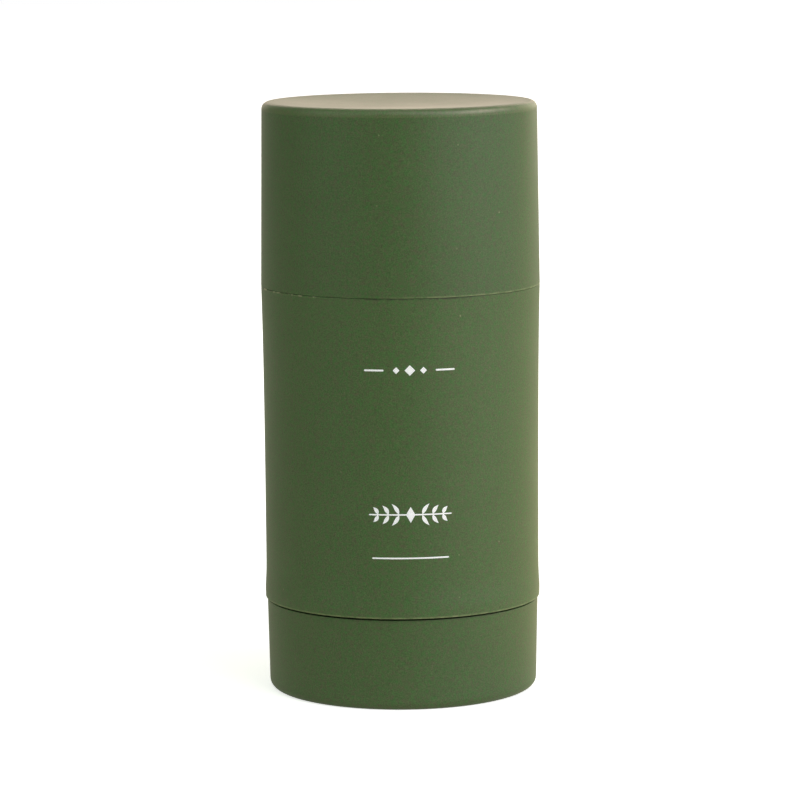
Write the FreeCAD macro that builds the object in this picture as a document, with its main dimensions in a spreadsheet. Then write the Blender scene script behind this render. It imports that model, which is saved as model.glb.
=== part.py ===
"""Empty twist-up stick tube for solid deodorant: a round double-walled pack with a pull-off cap.

Frame: millimetres, +Z up, origin at the centre of the foot that it stands on, axis of the pack on Z.
Turning the base clockwise, as seen from below, turns the left-handed screw and lifts the platform.

Pieces, from the outside in
  cap_shell      outer cap, a cup with a slight draft and a rounded crown
  cap_liner      inner cap that slides over the neck
  barrel_shell   outer sleeve, open at both ends
  product_tube   inner tube with neck, shoulder, floor, guide ribs and the ring of latch fingers
  base_shell     outer cup of the twist base, with the foot ring
  base_hub       inner wheel of the twist base, with its latch bead and hexagon socket
  lift_screw     spindle with a coarse left-handed thread, a collar and a hexagon end
  screw_seal     ring that seals the spindle where it goes through the floor
  platform       threaded carrier that lifts the stick and slides on the guide ribs
"""
import FreeCAD, Part
import Sketcher
import math
import os
import re

# Driving dimensions: alias, millimetres (or a plain count), what it is.
SIZES = [
    ("pack_height", 97.4, "foot to crown"),
    ("cap_rim_height", 67.25, "foot to the cap's rim"),
    ("cap_top_radius", 22.61, "cap, at the crown before rounding"),
    ("cap_rim_radius", 23.0, "cap, at its rim: the widest place of the pack"),
    ("cap_top_wall", 1.4, "cap, thickness of the crown at its edge"),
    ("crown_sink", 0.7, "how far the middle of the crown has sunk below its edge"),
    ("cap_round", 1.15, "cap, rounding of the crown's edge"),
    ("shell_wall", 1.3, "wall of the three outer shells"),
    ("seam_round", 0.12, "rounding of the shells' edges at the seams"),
    ("liner_wall", 0.8, "wall of the inner cap"),
    ("shell_slip", 0.1, "gap between an outer shell and the piece inside it"),
    ("cap_fit", 0.3, "radial gap between the inner cap and the plain neck"),
    ("shoulder_height", 67.2, "top of the barrel, where the cap lands"),
    ("shoulder_radius", 21.9, "flange of the inner tube"),
    ("shoulder_step", 1.2, "thickness of that flange"),
    ("barrel_top_radius", 23.0, "barrel at the shoulder"),
    ("flare_radius", 22.9, "barrel where the flare under its shoulder ends"),
    ("flare_height", 64.4, "height of that place"),
    ("waist_radius", 22.65, "barrel at its waist, where the moulding has shrunk most"),
    ("waist_top_height", 32.0, "upper end of the waist"),
    ("waist_foot_height", 21.5, "lower end of the waist"),
    ("skirt_radius", 22.83, "barrel at the swell above its lower edge"),
    ("skirt_height", 16.5, "height of that swell"),
    ("barrel_foot_radius", 22.78, "barrel at its lower edge"),
    ("barrel_foot_height", 15.15, "lower edge of the barrel"),
    ("base_top_radius", 22.5, "base under the barrel"),
    ("base_foot_radius", 22.2, "base at the foot before rounding"),
    ("base_top_height", 14.85, "upper edge of the base"),
    ("foot_round", 1.4, "rounding of the foot's edge"),
    ("foot_recess", 0.8, "depth of the hollow under the base"),
    ("foot_ring_radius", 17.5, "inner edge of the ring that it stands on"),
    ("gate_radius", 1.5, "moulding gate dimple under the base"),
    ("gate_depth", 0.3, "depth of that dimple"),
    ("bore_radius", 19.0, "chamber that the stick fills"),
    ("tube_wall", 1.1, "wall of the inner tube"),
    ("neck_radius", 20.45, "neck that the cap slides on"),
    ("neck_height", 77.05, "rim of the neck"),
    ("neck_bead", 0.22, "height of the ridge that grips the cap"),
    ("neck_bead_rise", 3.5, "ridge above the shoulder"),
    ("floor_height", 15.3, "underside of the inner tube's floor"),
    ("floor_wall", 1.4, "floor thickness"),
    ("seat_rise", 0.7, "raised seat round the screw's hole"),
    ("locating_rise", 2.2, "height of the ring that centres the tube in the barrel"),
    ("latch_radius", 18.3, "ring of latch fingers under the floor"),
    ("latch_wall", 1.4, "thickness of a latch finger"),
    ("latch_foot_height", 4.6, "tips of the latch fingers"),
    ("latch_bead", 0.5, "barb of a latch finger"),
    ("barb_top", 8.1, "upper end of that barb"),
    ("latch_slot", 1.6, "slot between two fingers"),
    ("latch_count", 6, "fingers"),
    ("guide_count", 4, "guide ribs in the bore"),
    ("guide_width", 1.4, "width of a guide rib"),
    ("guide_depth", 0.7, "how far a guide rib stands into the bore"),
    ("guide_stop", 4.0, "guide ribs end this far below the rim"),
    ("spacer_count", 6, "ribs that stiffen the tube inside the barrel"),
    ("spacer_width", 1.0, "width of such a rib"),
    ("spacer_depth", 0.9, "height of such a rib"),
    ("hub_radius", 20.8, "inner wheel"),
    ("hub_wall", 1.3, "wall of the inner wheel"),
    ("hub_floor_height", 2.2, "underside of the inner wheel's floor"),
    ("hub_top_height", 15.2, "rim that carries the barrel"),
    ("hub_boss_radius", 4.9, "boss round the hexagon socket"),
    ("hub_boss_height", 13.0, "top of that boss"),
    ("web_count", 6, "webs of the inner wheel, and its drive keys"),
    ("web_width", 1.0, "thickness of a web"),
    ("web_height", 12.0, "top of a web"),
    ("web_gap", 0.3, "gap between the webs and the latch fingers"),
    ("catch_gap", 0.15, "gap between the latch fingers and the bead that catches them"),
    ("key_width", 1.6, "drive key of the base shell"),
    ("key_depth", 0.5, "how far a key reaches into the wheel's rim"),
    ("key_top", 11.5, "top of a drive key"),
    ("hexagon_flats", 5.0, "screw's drive end, across its flats"),
    ("socket_slack", 0.1, "socket wider than the drive end, across the flats"),
    ("hexagon_foot_height", 4.2, "lower end of the screw"),
    ("shaft_radius", 3.15, "screw's shaft in the floor's hole"),
    ("shaft_slack", 0.08, "radial running gap of the shaft"),
    ("collar_radius", 6.5, "collar that sits above the floor"),
    ("collar_wall", 1.5, "collar thickness"),
    ("collar_slack", 0.1, "running gap under the collar"),
    ("seal_groove", 1.0, "width of the seal's groove"),
    ("seal_thickness", 0.9, "diameter of the seal's section"),
    ("seal_height", 16.25, "middle of the seal"),
    ("screw_root_radius", 3.0, "screw, at the root of its thread"),
    ("screw_top_height", 76.2, "upper end of the screw"),
    ("screw_lead", 5.0, "rise of the platform in one turn"),
    ("thread_turns", 10.5, "turns of the screw's ridge"),
    ("thread_start", 21.5, "middle of the ridge where it starts"),
    ("thread_depth", 1.1, "height of the ridge"),
    ("thread_root_width", 2.2, "ridge at the root"),
    ("thread_crest_width", 1.2, "ridge at the crest"),
    ("thread_slack", 0.2, "running gap of the thread, all round"),
    ("platform_radius", 18.8, "platform, on its rim"),
    ("platform_wall", 1.3, "wall of its rim"),
    ("platform_foot", 18.6, "lower edge of its rim, at its lowest"),
    ("platform_plate", 20.6, "underside of its plate"),
    ("plate_wall", 1.4, "plate thickness"),
    ("platform_rim", 27.05, "upper edge of its rim"),
    ("nut_foot", 19.3, "lower end of the threaded boss"),
    ("nut_radius", 6.4, "outside of the threaded boss"),
    ("rib_width", 1.0, "ribs that key the stick to the platform"),
    ("rib_rise", 3.2, "ribs above the plate"),
    ("anchor_count", 6, "ribs, and holes that the stick flows into"),
    ("anchor_radius", 2.4, "such a hole"),
    ("anchor_ring", 12.0, "circle that the holes lie on"),
    ("notch_slack", 0.25, "gap round a guide rib in its notch"),
]

FACETS_OF_HEXAGON = 6
CLOSE = 0.02  # two sizes nearer than this are the same edge

document = FreeCAD.newDocument("StickTube")
sheet = document.addObject("Spreadsheet::Sheet", "Sizes")


def fill_sheet():
    """Writes one row per driving dimension: name, number with its alias, meaning."""
    for row, (alias, number, meaning) in enumerate(SIZES, start=1):
        sheet.set(f"A{row}", alias)
        sheet.set(f"B{row}", str(number))
        sheet.setAlias(f"B{row}", alias)
        sheet.set(f"C{row}", meaning)
    document.recompute()


def size(alias):
    """The number that a cell of the sheet holds."""
    return float(sheet.get(alias))


def bound(formula):
    """A formula of aliases, such as "hub_radius - hub_wall", with each alias pointed at the sheet."""
    return re.sub(r"[a-z_]+", lambda word: f"Sizes.{word[0]}", formula)


def new_body(label):
    body = document.addObject("PartDesign::Body", label)
    body.Label = label
    return body


def new_sketch(body, name, role="XZ_Plane", height=None):
    """A sketch on one of the body's own origin planes, lifted to a height above the XY plane if one is given."""
    sketch = body.newObject("Sketcher::SketchObject", name)
    plane = next(p for p in body.Origin.OriginFeatures if p.Role == role)
    sketch.AttachmentSupport = [(plane, "")]
    sketch.MapMode = "FlatFace"
    if height is not None:
        sketch.setExpression("AttachmentOffset.Base.z", bound(height))
    return sketch


def place(sketch, edge, point, across, up):
    """Drives one point of a sketch edge: its distance from the sketch's axes is a formula, or 0 for on the axis."""
    for kind, axis, formula in (("DistanceX", -2, across), ("DistanceY", -1, up)):
        if formula == "0":
            sketch.addConstraint(Sketcher.Constraint("PointOnObject", edge, point, axis))
        else:
            index = sketch.addConstraint(Sketcher.Constraint(kind, -1, 1, edge, point, 1.0))
            sketch.setExpression(f"Constraints[{index}]", bound(formula))


def outline(body, name, corners, role="XZ_Plane", height=None):
    """A closed outline of straight sides. Each corner is (distance from the axis, height), both formulas."""
    sketch = new_sketch(body, name, role, height)
    count = len(corners)
    ring = [
        FreeCAD.Vector(20 + math.cos(2 * math.pi * i / count), 20 + math.sin(2 * math.pi * i / count), 0)
        for i in range(count)
    ]
    for i in range(count):
        sketch.addGeometry(Part.LineSegment(ring[i], ring[(i + 1) % count]), False)
    for i in range(count):
        sketch.addConstraint(Sketcher.Constraint("Coincident", i, 2, (i + 1) % count, 1))
    for i, (across, up) in enumerate(corners):
        place(sketch, i, 1, across, up)
    document.recompute()
    return sketch


def revolve(body, name, corners):
    """Turns an outline all the way round the pack's axis."""
    sketch = outline(body, name + "_section", corners)
    feature = body.newObject("PartDesign::Revolution", name)
    feature.Profile = sketch
    feature.ReferenceAxis = (sketch, ["V_Axis"])
    feature.Angle = 360
    document.recompute()
    return feature


def radial(body, name, corners, thickness, count, cut=False):
    """A rib, or a slot when cut, that stands on a radial section and repeats round the axis."""
    before = body.Shape.Volume
    sketch = outline(body, name + "_section", corners)
    feature = body.newObject("PartDesign::Pocket" if cut else "PartDesign::Pad", name)
    feature.Profile = sketch
    feature.Midplane = True
    feature.setExpression("Length", bound(thickness))
    document.recompute()
    return repeat(body, feature, name + "_ring", count, before, cut)


def repeat(body, feature, name, count, before, cut):
    """Repeats a feature round the axis and makes sure that it really added or removed material."""
    ring = body.newObject("PartDesign::PolarPattern", name)
    ring.Originals = [feature]
    ring.Axis = (next(a for a in body.Origin.OriginFeatures if a.Role == "Z_Axis"), [""])
    ring.Angle = 360
    ring.setExpression("Occurrences", bound(count))
    body.Tip = ring
    document.recompute()
    changed = body.Shape.Volume - before
    if changed == 0 or (changed < 0) != cut:
        raise RuntimeError(f"{body.Label}: {name} changed nothing")
    return ring


def prism(body, name, sketch, top, foot, cut=False):
    """A pad from the sketch's plane up to a height, or a pocket when cut. Both heights are formulas."""
    before = body.Shape.Volume
    feature = body.newObject("PartDesign::Pocket" if cut else "PartDesign::Pad", name)
    feature.Profile = sketch
    feature.Reversed = cut
    feature.setExpression("Length", bound(f"{top} - ({foot})"))
    document.recompute()
    changed = body.Shape.Volume - before
    if changed == 0 or (changed < 0) != cut:
        raise RuntimeError(f"{body.Label}: {name} changed nothing")
    return feature


def hexagon(body, name, flats, height):
    """A regular hexagon round the axis, driven by its size across the flats, at a height."""
    sketch = new_sketch(body, name, "XY_Plane", height)
    reach = size("hexagon_flats") / math.sqrt(3)
    corners = [
        FreeCAD.Vector(reach * math.cos(math.radians(60 * i)), reach * math.sin(math.radians(60 * i)), 0)
        for i in range(FACETS_OF_HEXAGON)
    ]
    for i in range(FACETS_OF_HEXAGON):
        sketch.addGeometry(Part.LineSegment(corners[i], corners[(i + 1) % FACETS_OF_HEXAGON]), False)
    for i in range(FACETS_OF_HEXAGON):
        sketch.addConstraint(
            Sketcher.Constraint("Coincident", i, 2, (i + 1) % FACETS_OF_HEXAGON, 1)
        )
    circle = sketch.addGeometry(Part.Circle(FreeCAD.Vector(0, 0, 0), FreeCAD.Vector(0, 0, 1), reach), True)
    sketch.addConstraint(Sketcher.Constraint("Coincident", circle, 3, -1, 1))
    for i in range(FACETS_OF_HEXAGON):
        sketch.addConstraint(Sketcher.Constraint("PointOnObject", i, 1, circle))
    for i in range(1, FACETS_OF_HEXAGON):
        sketch.addConstraint(Sketcher.Constraint("Equal", 0, i))
    sketch.addConstraint(Sketcher.Constraint("PointOnObject", 0, 1, -1))
    index = sketch.addConstraint(Sketcher.Constraint("Radius", circle, reach))
    sketch.setExpression(f"Constraints[{index}]", bound(f"({flats})") + " / sqrt(3)")
    document.recompute()
    return sketch


def disc(body, name, radius, height, across="0"):
    """A circle at a height above the XY plane, on the axis or out along X."""
    sketch = new_sketch(body, name, "XY_Plane", height)
    sketch.addGeometry(Part.Circle(FreeCAD.Vector(size("anchor_ring"), 0, 0), FreeCAD.Vector(0, 0, 1), 1), False)
    place(sketch, 0, 3, across, "0")
    index = sketch.addConstraint(Sketcher.Constraint("Radius", 0, 1.0))
    sketch.setExpression(f"Constraints[{index}]", bound(radius))
    document.recompute()
    return sketch


def rims(shape, radius, height):
    """Names of the circular edges of that radius, round the axis at that height."""
    found = []
    for number, edge in enumerate(shape.Edges, start=1):
        curve = edge.Curve
        if isinstance(curve, Part.Circle) and math.hypot(curve.Center.x, curve.Center.y) < CLOSE:
            if abs(curve.Radius - radius) < CLOSE and abs(curve.Center.z - height) < CLOSE:
                found.append(f"Edge{number}")
    if not found:
        raise RuntimeError(f"no edge of radius {radius:.2f} at height {height:.2f}")
    return found


def round_rims(body, name, radius, places):
    """Rounds the circular edges at each (radius, height) by a radius that is a formula."""
    base = body.Tip
    edges = [edge for where in places for edge in rims(base.Shape, *where)]
    fillet = body.newObject("PartDesign::Fillet", name)
    fillet.Base = (base, edges)
    fillet.setExpression("Radius", bound(radius))
    document.recompute()
    return fillet


def thread(body, name, corners, turns, cut=False):
    """Carries an outline up a left-handed helix round the axis, as a ridge or as a groove."""
    before = body.Shape.Volume
    sketch = outline(body, name + "_section", corners)
    feature = body.newObject("PartDesign::SubtractiveHelix" if cut else "PartDesign::AdditiveHelix", name)
    feature.Profile = sketch
    feature.ReferenceAxis = (sketch, ["V_Axis"])
    feature.Mode = "pitch-turns-angle"
    feature.LeftHanded = True
    feature.Angle = 0
    feature.setExpression("Pitch", bound("screw_lead"))
    feature.setExpression("Turns", bound(turns))
    body.Tip = feature
    document.recompute()
    changed = body.Shape.Volume - before
    if changed == 0 or (changed < 0) != cut:
        raise RuntimeError(f"{body.Label}: {name} changed nothing")
    return feature


def make_cap_shell():
    """A thin cup, open downwards, that widens a little towards its rim. Its crown is a little sunk in the middle."""
    body = new_body("cap_shell")
    inner_top = "pack_height - cap_top_wall"
    revolve(body, "cap_cup", [
        ("0", "pack_height - crown_sink"),
        ("cap_top_radius - 3 * cap_round / 2", "pack_height"),
        ("cap_top_radius", "pack_height"),
        ("cap_rim_radius", "cap_rim_height"),
        ("cap_rim_radius - shell_wall", "cap_rim_height"),
        ("cap_top_radius - shell_wall", inner_top),
        ("0", inner_top),
    ])
    round_rims(body, "crown_round", "cap_round", [(size("cap_top_radius"), size("pack_height"))])
    round_rims(body, "rim_round", "seam_round", [(size("cap_rim_radius"), size("cap_rim_height"))])
    return body


def make_cap_liner():
    """The inner cap: it lands on the shoulder, and its lower part is a plain bore over the neck."""
    body = new_body("cap_liner")
    outer_top = "pack_height - cap_top_wall"
    top_radius = "cap_top_radius - shell_wall - shell_slip"
    revolve(body, "liner_cup", [
        ("0", outer_top),
        (top_radius, outer_top),
        ("cap_rim_radius - shell_wall - shell_slip", "shoulder_height"),
        ("neck_radius + cap_fit", "shoulder_height"),
        ("neck_radius + cap_fit", "neck_height + cap_fit"),
        (f"{top_radius} - liner_wall", f"{outer_top} - liner_wall"),
        ("0", f"{outer_top} - liner_wall"),
    ])
    crown = (size("cap_top_radius") - size("shell_wall") - size("shell_slip"),
             size("pack_height") - size("cap_top_wall"))
    round_rims(body, "liner_round", "liner_wall", [crown])
    return body


def make_barrel_shell():
    """A sleeve with a slight waist and flared ends. A rebate in its upper edge takes the tube's shoulder."""
    body = new_body("barrel_shell")
    ledge = "shoulder_height - shoulder_step"
    revolve(body, "barrel_sleeve", [
        ("barrel_top_radius", "shoulder_height"),
        ("flare_radius", "flare_height"),
        ("waist_radius", "waist_top_height"),
        ("waist_radius", "waist_foot_height"),
        ("skirt_radius", "skirt_height"),
        ("barrel_foot_radius", "barrel_foot_height"),
        ("barrel_foot_radius - shell_wall", "barrel_foot_height"),
        ("barrel_top_radius - shell_wall", ledge),
        ("shoulder_radius + shell_slip / 2", ledge),
        ("shoulder_radius + shell_slip / 2", "shoulder_height"),
    ])
    round_rims(body, "barrel_round", "seam_round", [
        (size("barrel_top_radius"), size("shoulder_height")),
        (size("barrel_foot_radius"), size("barrel_foot_height")),
    ])
    return body


def make_product_tube():
    """The inner tube, in one moulding: neck, shoulder, wall, floor, guide ribs and latch fingers."""
    body = new_body("product_tube")
    bead = "shoulder_height + neck_bead_rise"
    ledge = "shoulder_height - shoulder_step"
    outer = "bore_radius + tube_wall"
    locating = "barrel_foot_radius - shell_wall - shell_slip"
    hole = "shaft_radius + shaft_slack"
    seat_top = "floor_height + floor_wall + seat_rise"
    revolve(body, "tube_turned", [
        ("bore_radius", "neck_height"),
        ("neck_radius", "neck_height"),
        ("neck_radius", f"{bead} + 2 * neck_bead"),
        ("neck_radius + neck_bead", f"{bead} + neck_bead"),
        ("neck_radius + neck_bead", f"{bead} - neck_bead"),
        ("neck_radius", f"{bead} - 2 * neck_bead"),
        ("neck_radius", "shoulder_height"),
        ("shoulder_radius", "shoulder_height"),
        ("shoulder_radius", ledge),
        (outer, ledge),
        (outer, "floor_height + locating_rise"),
        (locating, "floor_height + locating_rise"),
        (locating, "floor_height"),
        ("latch_radius", "floor_height"),
        ("latch_radius", "barb_top"),
        ("latch_radius + latch_bead", "barb_top - latch_bead"),
        ("latch_radius + latch_bead", "barb_top - 3 * latch_bead"),
        ("latch_radius - latch_wall / 3", "latch_foot_height"),
        ("latch_radius - latch_wall", "latch_foot_height"),
        ("latch_radius - latch_wall", "floor_height"),
        (hole, "floor_height"),
        (hole, seat_top),
        ("collar_radius", seat_top),
        ("collar_radius + seat_rise", "floor_height + floor_wall"),
        ("bore_radius", "floor_height + floor_wall"),
    ])
    round_rims(body, "neck_round", "tube_wall / 3", [
        (size("neck_radius"), size("neck_height")),
        (size("bore_radius"), size("neck_height")),
    ])
    radial(body, "latch_slot_cut", [
        ("latch_radius - 2 * latch_wall", "latch_foot_height - latch_wall"),
        ("latch_radius + 2 * latch_wall", "latch_foot_height - latch_wall"),
        ("latch_radius + 2 * latch_wall", "floor_height - latch_wall"),
        ("latch_radius - 2 * latch_wall", "floor_height - latch_wall"),
    ], "latch_slot", "latch_count", cut=True)
    radial(body, "guide_rib", [
        ("bore_radius - guide_depth", "floor_height + floor_wall / 2"),
        ("bore_radius + tube_wall / 2", "floor_height + floor_wall / 2"),
        ("bore_radius + tube_wall / 2", "neck_height - guide_stop"),
        ("bore_radius - guide_depth", "neck_height - guide_stop - guide_depth"),
    ], "guide_width", "guide_count")
    radial(body, "spacer_rib", [
        ("bore_radius + tube_wall / 2", "floor_height + floor_wall"),
        (f"{outer} + spacer_depth", "floor_height + floor_wall"),
        (f"{outer} + spacer_depth", f"{ledge} - 2 * spacer_depth"),
        ("bore_radius + tube_wall / 2", f"{ledge} - spacer_depth"),
    ], "spacer_width", "spacer_count")
    return body


def make_base_shell():
    """The outer cup of the twist base: it stands on a ring and turns the hub with its inner keys."""
    body = new_body("base_shell")
    revolve(body, "base_cup", [
        ("0", "foot_recess"),
        ("foot_ring_radius", "foot_recess"),
        ("foot_ring_radius + foot_recess", "0"),
        ("base_foot_radius", "0"),
        ("base_top_radius", "base_top_height"),
        ("base_top_radius - shell_wall", "base_top_height"),
        ("base_foot_radius - shell_wall", "hub_floor_height"),
        ("0", "hub_floor_height"),
    ])
    round_rims(body, "foot_edge_round", "foot_round", [(size("base_foot_radius"), 0.0)])
    round_rims(body, "base_rim_round", "seam_round", [(size("base_top_radius"), size("base_top_height"))])
    radial(body, "drive_key", [
        ("hub_radius - key_depth + shell_slip", "hub_floor_height - shell_slip"),
        ("base_foot_radius - shell_wall / 2", "hub_floor_height - shell_slip"),
        ("base_foot_radius - shell_wall / 2", "key_top"),
        ("hub_radius - key_depth + shell_slip", "key_top"),
    ], "key_width", "web_count")
    gate = disc(body, "gate_circle", "gate_radius", "foot_recess")
    prism(body, "gate_dimple", gate, "foot_recess + gate_depth", "foot_recess", cut=True)
    return body


def make_base_hub():
    """The inner wheel: its rim carries the barrel, its bead catches the latch fingers, its socket turns the screw."""
    body = new_body("base_hub")
    inner = "hub_radius - hub_wall"
    floor_top = "hub_floor_height + floor_wall"
    catch = "latch_radius + catch_gap"
    catch_foot = "barb_top + shell_slip"
    revolve(body, "hub_wheel", [
        ("0", "hub_floor_height"),
        ("hub_radius", "hub_floor_height"),
        ("hub_radius", "hub_top_height"),
        (inner, "hub_top_height"),
        (inner, f"{catch_foot} + 4 * latch_bead"),
        (catch, f"{catch_foot} + 2 * latch_bead"),
        (catch, catch_foot),
        (inner, catch_foot),
        (inner, floor_top),
        ("hub_boss_radius", floor_top),
        ("hub_boss_radius", "hub_boss_height"),
        ("0", "hub_boss_height"),
    ])
    radial(body, "hub_web", [
        ("hub_boss_radius - web_width", "hub_floor_height + floor_wall / 2"),
        ("latch_radius - latch_wall - web_gap", "hub_floor_height + floor_wall / 2"),
        ("latch_radius - latch_wall - web_gap", "web_height - 2 * web_width"),
        ("hub_boss_radius - web_width", "web_height"),
    ], "web_width", "web_count")
    radial(body, "key_slot", [
        ("hub_radius - key_depth", "hub_floor_height - key_depth"),
        ("hub_radius + key_depth", "hub_floor_height - key_depth"),
        ("hub_radius + key_depth", "key_top + key_depth"),
        ("hub_radius - key_depth", "key_top + key_depth"),
    ], "key_width + 2 * shell_slip", "web_count", cut=True)
    socket = hexagon(body, "socket_hexagon", "hexagon_flats + socket_slack", "hexagon_foot_height - shell_slip")
    prism(body, "socket_cut", socket, "hub_boss_height", "hexagon_foot_height - shell_slip", cut=True)
    return body


def make_lift_screw():
    """The spindle: hexagon end, shaft with the seal's groove, collar, and the threaded rod."""
    body = new_body("lift_screw")
    seat_top = "floor_height + floor_wall + seat_rise"
    collar_foot = f"{seat_top} + collar_slack"
    collar_top = f"{collar_foot} + collar_wall"
    groove_foot = "seal_height - seal_groove / 2"
    groove_top = "seal_height + seal_groove / 2"
    groove_floor = "shaft_radius + shaft_slack / 2 - seal_thickness"
    revolve(body, "spindle_turned", [
        ("0", "hub_boss_height"),
        ("shaft_radius", "hub_boss_height"),
        ("shaft_radius", groove_foot),
        (groove_floor, groove_foot),
        (groove_floor, groove_top),
        ("shaft_radius", groove_top),
        ("shaft_radius", collar_foot),
        ("collar_radius", collar_foot),
        ("collar_radius", f"{collar_top} - collar_wall / 3"),
        ("collar_radius - collar_wall / 3", collar_top),
        ("screw_root_radius", collar_top),
        ("screw_root_radius", "screw_top_height - screw_root_radius / 3"),
        ("screw_root_radius * 2 / 3", "screw_top_height"),
        ("0", "screw_top_height"),
    ])
    drive = hexagon(body, "drive_hexagon", "hexagon_flats", "hexagon_foot_height")
    prism(body, "drive_end", drive, "hub_boss_height", "hexagon_foot_height")
    buried = "screw_root_radius - thread_depth / 4"
    crest = "screw_root_radius + thread_depth"
    thread(body, "lift_ridge", [
        (buried, "thread_start - thread_root_width / 2"),
        ("screw_root_radius", "thread_start - thread_root_width / 2"),
        (crest, "thread_start - thread_crest_width / 2"),
        (crest, "thread_start + thread_crest_width / 2"),
        ("screw_root_radius", "thread_start + thread_root_width / 2"),
        (buried, "thread_start + thread_root_width / 2"),
    ], "thread_turns")
    return body


def make_screw_seal():
    """A ring of round section in the shaft's groove."""
    ring = document.addObject("Part::Torus", "screw_seal")
    ring.Label = "screw_seal"
    ring.setExpression("Radius1", bound("shaft_radius + shaft_slack / 2 - seal_thickness / 2"))
    ring.setExpression("Radius2", bound("seal_thickness / 2"))
    ring.setExpression("Placement.Base.z", bound("seal_height"))
    document.recompute()
    return ring


def make_platform():
    """The carrier: a shallow cup with a threaded boss, keying ribs, anchor holes and notches for the guide ribs."""
    body = new_body("platform")
    bore = "screw_root_radius + thread_slack"
    inner = "platform_radius - platform_wall"
    plate_top = "platform_plate + plate_wall"
    revolve(body, "platform_turned", [
        (bore, "nut_foot"),
        ("nut_radius", "nut_foot"),
        ("nut_radius", "platform_plate"),
        (inner, "platform_plate"),
        (inner, "platform_foot"),
        ("platform_radius", "platform_foot"),
        ("platform_radius", "platform_rim"),
        (inner, "platform_rim"),
        (inner, plate_top),
        ("nut_radius", plate_top),
        ("nut_radius", "platform_rim"),
        (bore, "platform_rim"),
    ])
    round_rims(body, "platform_round", "platform_wall / 4", [
        (size("platform_radius"), size("platform_rim")),
        (size("platform_radius") - size("platform_wall"), size("platform_rim")),
        (size("nut_radius"), size("platform_rim")),
    ])
    radial(body, "keying_rib", [
        ("nut_radius - rib_width", f"{plate_top} - plate_wall / 2"),
        (f"{inner} + platform_wall / 2", f"{plate_top} - plate_wall / 2"),
        (f"{inner} + platform_wall / 2", f"{plate_top} + rib_rise"),
        ("nut_radius - rib_width", f"{plate_top} + rib_rise"),
    ], "rib_width", "anchor_count")
    radial(body, "guide_notch", [
        ("bore_radius - guide_depth - notch_slack", "platform_foot - notch_slack"),
        ("bore_radius + notch_slack", "platform_foot - notch_slack"),
        ("bore_radius + notch_slack", "platform_rim + notch_slack"),
        ("bore_radius - guide_depth - notch_slack", "platform_rim + notch_slack"),
    ], "guide_width + 2 * notch_slack", "guide_count", cut=True)
    cut_anchor_holes(body, plate_top)
    groove_floor = "screw_root_radius + thread_depth + thread_slack"
    half_mouth = "(thread_root_width / 2 + thread_slack)"
    half_floor = "(thread_crest_width / 2 + thread_slack)"
    middle = "thread_start - screw_lead"
    thread(body, "nut_groove", [
        ("screw_root_radius", f"{middle} - {half_mouth}"),
        (groove_floor, f"{middle} - {half_floor}"),
        (groove_floor, f"{middle} + {half_floor}"),
        ("screw_root_radius", f"{middle} + {half_mouth}"),
    ], "3", cut=True)
    return body


def cut_anchor_holes(body, plate_top):
    """Six round holes through the plate, halfway between the keying ribs."""
    before = body.Shape.Volume
    circle = disc(body, "anchor_circle", "anchor_radius", plate_top, across="anchor_ring")
    circle.setExpression("AttachmentOffset.Rotation.Angle", bound("180 / anchor_count"))
    document.recompute()
    hole = body.newObject("PartDesign::Pocket", "anchor_hole")
    hole.Profile = circle
    hole.setExpression("Length", bound("2 * plate_wall"))
    document.recompute()
    repeat(body, hole, "anchor_hole_ring", "anchor_count", before, cut=True)


def check_and_write(pieces):
    """Stops on a failed object or a bad shape, then writes one STEP file for each piece, named by its label."""
    document.recompute()
    for item in document.Objects:
        if "Invalid" in item.State or "Error" in item.State:
            raise RuntimeError(f"{item.Label} failed: {item.State}")
    for piece in pieces:
        shape = piece.Shape
        if shape.isNull() or not shape.isValid() or len(shape.Solids) != 1:
            raise RuntimeError(f"{piece.Label} isn't one valid solid")
    os.makedirs("parts", exist_ok=True)
    for piece in pieces:
        piece.Shape.exportStep(f"parts/{piece.Label}.step")
        box = piece.Shape.BoundBox
        print(f"{piece.Label}: {piece.Shape.Volume / 1000:.3f} cm3, height {box.ZMin:.2f} to {box.ZMax:.2f}")


fill_sheet()
check_and_write([
    make_cap_shell(),
    make_cap_liner(),
    make_barrel_shell(),
    make_product_tube(),
    make_base_shell(),
    make_base_hub(),
    make_lift_screw(),
    make_screw_seal(),
    make_platform(),
])
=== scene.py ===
"""Looks of the empty twist-up stick tube: matt green outer shells round white inner mouldings.

Lengths are millimetres in the named values and in every profile, and metres in the meshes. Heights and outer
radii are read from the frame's boxes; walls, drafts and roundings are named below. The front of the pack
faces -Y.
"""
import math

import bmesh
import bpy
import numpy as np
from mathutils import Matrix, Vector


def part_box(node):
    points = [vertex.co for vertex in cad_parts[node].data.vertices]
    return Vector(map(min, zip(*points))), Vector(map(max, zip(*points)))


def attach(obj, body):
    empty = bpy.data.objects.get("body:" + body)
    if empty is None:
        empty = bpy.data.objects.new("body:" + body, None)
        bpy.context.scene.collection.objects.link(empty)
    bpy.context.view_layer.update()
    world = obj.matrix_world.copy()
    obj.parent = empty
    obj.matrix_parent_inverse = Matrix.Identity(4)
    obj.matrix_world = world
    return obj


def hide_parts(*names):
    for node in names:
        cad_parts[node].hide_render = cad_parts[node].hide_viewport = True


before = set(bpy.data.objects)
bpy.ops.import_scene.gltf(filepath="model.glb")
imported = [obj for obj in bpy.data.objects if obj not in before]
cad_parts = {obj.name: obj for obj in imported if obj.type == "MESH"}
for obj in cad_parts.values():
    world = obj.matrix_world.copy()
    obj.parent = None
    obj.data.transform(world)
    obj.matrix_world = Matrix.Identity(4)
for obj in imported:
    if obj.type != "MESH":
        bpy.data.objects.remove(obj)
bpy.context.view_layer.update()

MM = 0.001  # metres in a millimetre

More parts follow.
